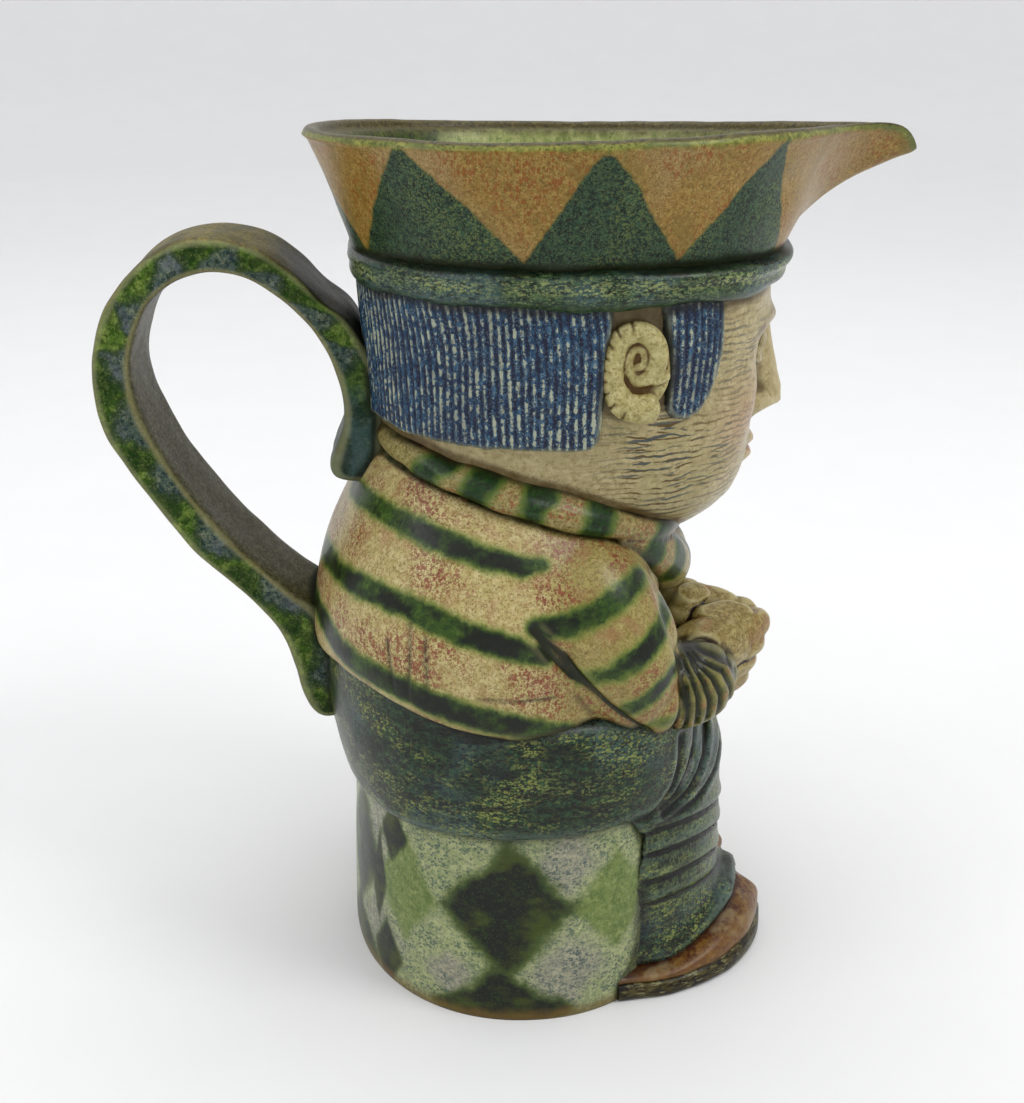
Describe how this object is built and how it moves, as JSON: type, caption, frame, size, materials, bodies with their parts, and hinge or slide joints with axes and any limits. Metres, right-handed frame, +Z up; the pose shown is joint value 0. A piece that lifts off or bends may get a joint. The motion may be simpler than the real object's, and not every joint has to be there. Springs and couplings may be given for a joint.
{
  "type": "character jug",
  "caption": "Hollow figural pottery jug: a seated figure whose hat is the open cup with a pouring spout, and a strap handle behind.",
  "frame": {"origin": "centre of the flat underside of the drum", "axes": "+Z up, +X the way the figure and the spout face, +Y the figure's left"},
  "size_m": [0.2502, 0.147, 0.2657],
  "materials": {
    "glazed_stoneware": "satin glaze over painted underglaze colours: green, cobalt blue, cream, tan and rust"
  },
  "bodies": {
    "root": {"jug": "glazed_stoneware"}
  },
  "joints": []
}
